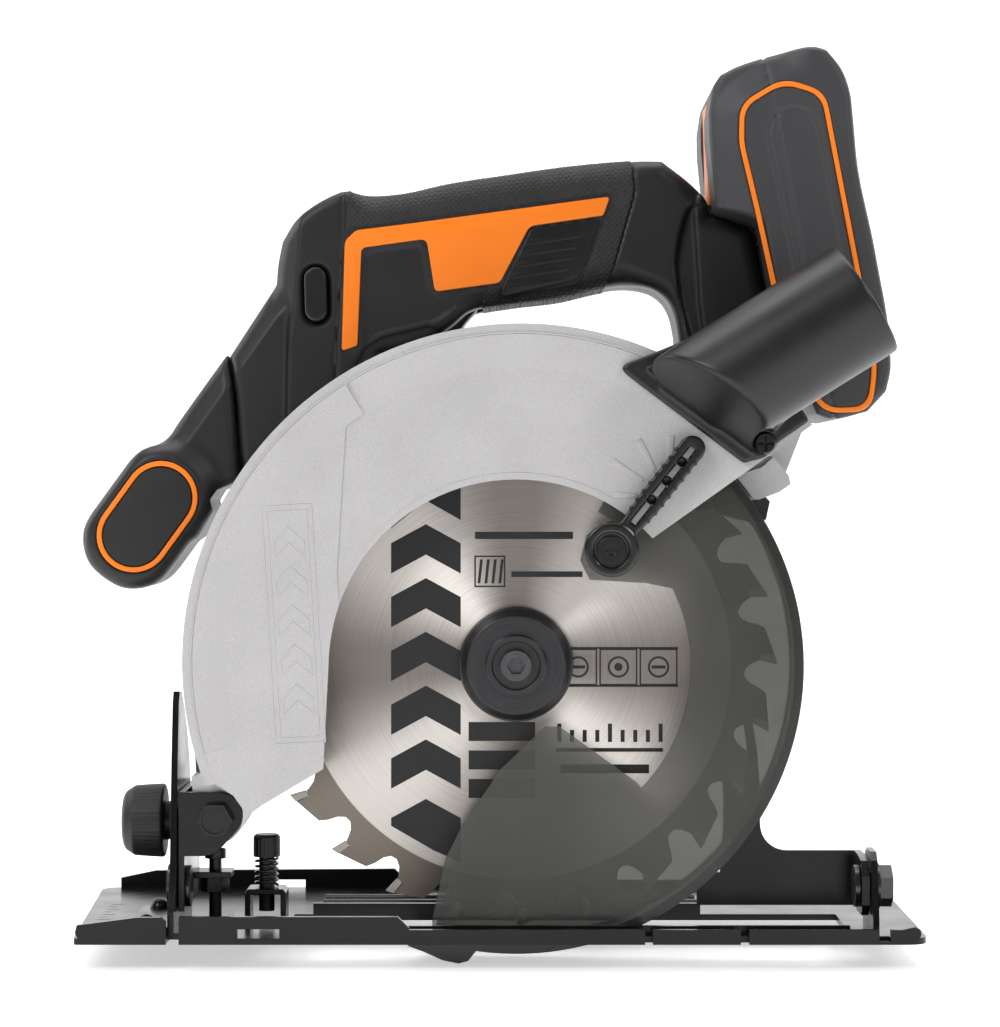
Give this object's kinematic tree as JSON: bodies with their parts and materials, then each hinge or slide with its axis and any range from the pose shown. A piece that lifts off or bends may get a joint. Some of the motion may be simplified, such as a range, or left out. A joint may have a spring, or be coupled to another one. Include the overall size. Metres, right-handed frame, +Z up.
{
  "type": "circular saw",
  "caption": "Cordless circular saw: round blade under a fixed and a swinging guard, tilting shoe, closed-loop handle, dust outlet and slide-off battery.",
  "frame": {"origin": "on the sole plane, at the middle of the shoe in plan", "axes": "-X is forward, the cutting direction; +Y runs from the blade side to the motor side along the blade axis; +Z is up from the sole"},
  "size_m": [0.27, 0.1543, 0.289],
  "materials": {
    "black_steel": "satin black powder coat",
    "spring_steel": "drawn wire",
    "zinc_steel": "zinc plated",
    "black_screw": "black oxide",
    "cast_silver": "silver paint over a cast shell",
    "raw_casting": "raw casting",
    "black_plastic": "fine moulded texture",
    "knob_plastic": "satin",
    "smoke_plastic": "smoked clear moulding",
    "lever_plastic": "dark smoked",
    "blade_steel": "radially brushed",
    "carbide": "brazed carbide",
    "dark_flange": "black oxide",
    "copper": "copper bars",
    "motor_steel": "zinc plated",
    "ferrite": "sintered",
    "grip_rubber": "fine knurl",
    "orange_plastic": "satin",
    "badge_plastic": "smooth",
    "board": "solder mask",
    "battery_plastic": "fine moulded texture",
    "cell_wrap": "shrink wrap"
  },
  "bodies": {
    "shoe": {"shoe": "black_steel", "bevel_quadrant": "black_steel", "fence_bridge": "black_steel", "fence_spring": "spring_steel", "bevel_pivot_pins": "zinc_steel"},
    "fence_clamp": {"fence_screw": "black_screw"},
    "bevel_frame": {"bevel_bracket": "black_steel", "depth_bracket": "black_steel", "depth_pivot_bolt": "black_screw", "bevel_stop_screw": "black_screw", "bevel_stud": "zinc_steel"},
    "bevel_knob": {"bevel_knob": "knob_plastic"},
    "saw_head": {"upper_guard": "cast_silver", "dust_port": "black_plastic", "dust_port_screw": "black_screw", "gear_case": "raw_casting", "gear_case_cover": "raw_casting", "case_screws": "zinc_steel", "guard_spring": "spring_steel", "spindle_bearings": "zinc_steel", "motor_can": "motor_steel", "motor_magnets": "ferrite", "carbon_brushes": "ferrite", "motor_bearings": "zinc_steel", "motor_housing": "black_plastic", "spindle_lock_spring": "spring_steel", "handle_shell_near": "black_plastic", "handle_shell_far": "black_plastic", "handle_screws": "black_screw", "grip_sleeve": "grip_rubber", "side_inlays": "orange_plastic", "badge_panels": "badge_plastic", "front_grip": "grip_rubber", "front_grip_rings": "orange_plastic", "front_grip_pads": "grip_rubber", "switch_body": "black_plastic", "control_board": "board", "battery_rail": "black_plastic", "depth_lock_bolt": "zinc_steel"},
    "depth_lever": {"depth_lock_lever": "knob_plastic"},
    "lower_guard": {"lower_guard": "smoke_plastic", "guard_lever": "lever_plastic", "lever_screw": "black_screw"},
    "blade": {"blade_plate": "blade_steel", "carbide_tips": "carbide", "inner_flange": "dark_flange", "outer_flange": "dark_flange", "blade_bolt": "black_screw", "spindle": "zinc_steel", "driven_gear": "zinc_steel"},
    "rotor": {"armature": "zinc_steel", "commutator": "copper", "cooling_fan": "black_plastic"},
    "trigger": {"trigger": "black_plastic"},
    "lock_off_button": {"lock_off_button": "black_plastic"},
    "spindle_lock": {"spindle_lock_button": "orange_plastic"},
    "battery": {"battery_case": "battery_plastic", "battery_cells": "cell_wrap", "battery_rings": "orange_plastic"},
    "battery_release": {"battery_release_button": "orange_plastic"}
  },
  "joints": [
    {"name": "fence_screw_turn", "type": "hinge", "parent": "shoe", "child": "fence_clamp", "pos_m": [-0.075, -0.021, 0.02], "axis": [0, 0, 1], "range_deg": [-180, 180]},
    {"name": "bevel_tilt", "type": "hinge", "parent": "shoe", "child": "bevel_frame", "pos_m": [0.005, -0.036, 0.015], "axis": [1, 0, 0], "range_deg": [0, 45]},
    {"name": "bevel_knob_turn", "type": "hinge", "parent": "bevel_frame", "child": "bevel_knob", "pos_m": [-0.113, -0.01603, 0.03362], "axis": [1, 0, 0], "range_deg": [0, 270]},
    {"name": "depth_swing", "type": "hinge", "parent": "bevel_frame", "child": "saw_head", "pos_m": [-0.089, -0.036, 0.037], "axis": [0, 1, 0], "range_deg": [0, 32]},
    {"name": "depth_lever_swing", "type": "hinge", "parent": "saw_head", "child": "depth_lever", "pos_m": [0.03816, -0.017, 0.1437], "axis": [0, 1, 0], "range_deg": [0, 40]},
    {"name": "lower_guard_swing", "type": "hinge", "parent": "saw_head", "child": "lower_guard", "pos_m": [0.005, -0.036, 0.085], "axis": [0, -1, 0], "range_deg": [0, 130], "stiffness_Nm_per_rad": 0.12, "springref_deg": -68.75, "deforming": ["guard_spring"]},
    {"name": "blade_spin", "type": "hinge", "parent": "saw_head", "child": "blade", "pos_m": [0.005, -0.036, 0.085], "axis": [0, 1, 0], "continuous": true},
    {"name": "rotor_spin", "type": "hinge", "parent": "saw_head", "child": "rotor", "pos_m": [-0.00269, 0.024, 0.10614], "axis": [0, 1, 0], "continuous": true},
    {"name": "trigger_pull", "type": "hinge", "parent": "saw_head", "child": "trigger", "pos_m": [-0.032, 0.004, 0.1985], "axis": [0, -1, 0], "range_deg": [0, 8], "stiffness_Nm_per_rad": 1.2, "springref_deg": -8.59},
    {"name": "lock_off_push", "type": "slide", "parent": "saw_head", "child": "lock_off_button", "axis": [0, 1, 0], "range_m": [-0.0014, 0.0014], "stiffness_N_per_m": 500},
    {"name": "spindle_lock_press", "type": "slide", "parent": "saw_head", "child": "spindle_lock", "axis": [0.866, 0, -0.5], "range_m": [0, 0.0022], "stiffness_N_per_m": 600, "springref_m": -0.001, "deforming": ["spindle_lock_spring"]},
    {"name": "battery_slide", "type": "slide", "parent": "saw_head", "child": "battery", "axis": [-0.1908, 0, 0.9816], "range_m": [0, 0.06]},
    {"name": "battery_release_press", "type": "slide", "parent": "battery", "child": "battery_release", "axis": [0.9816, 0, 0.1908], "range_m": [0, 0.0025], "stiffness_N_per_m": 500, "springref_m": -0.001}
  ],
  "couplings": [
    {"joint": "rotor_spin", "follows": "blade_spin", "ratio": -4}
  ]
}
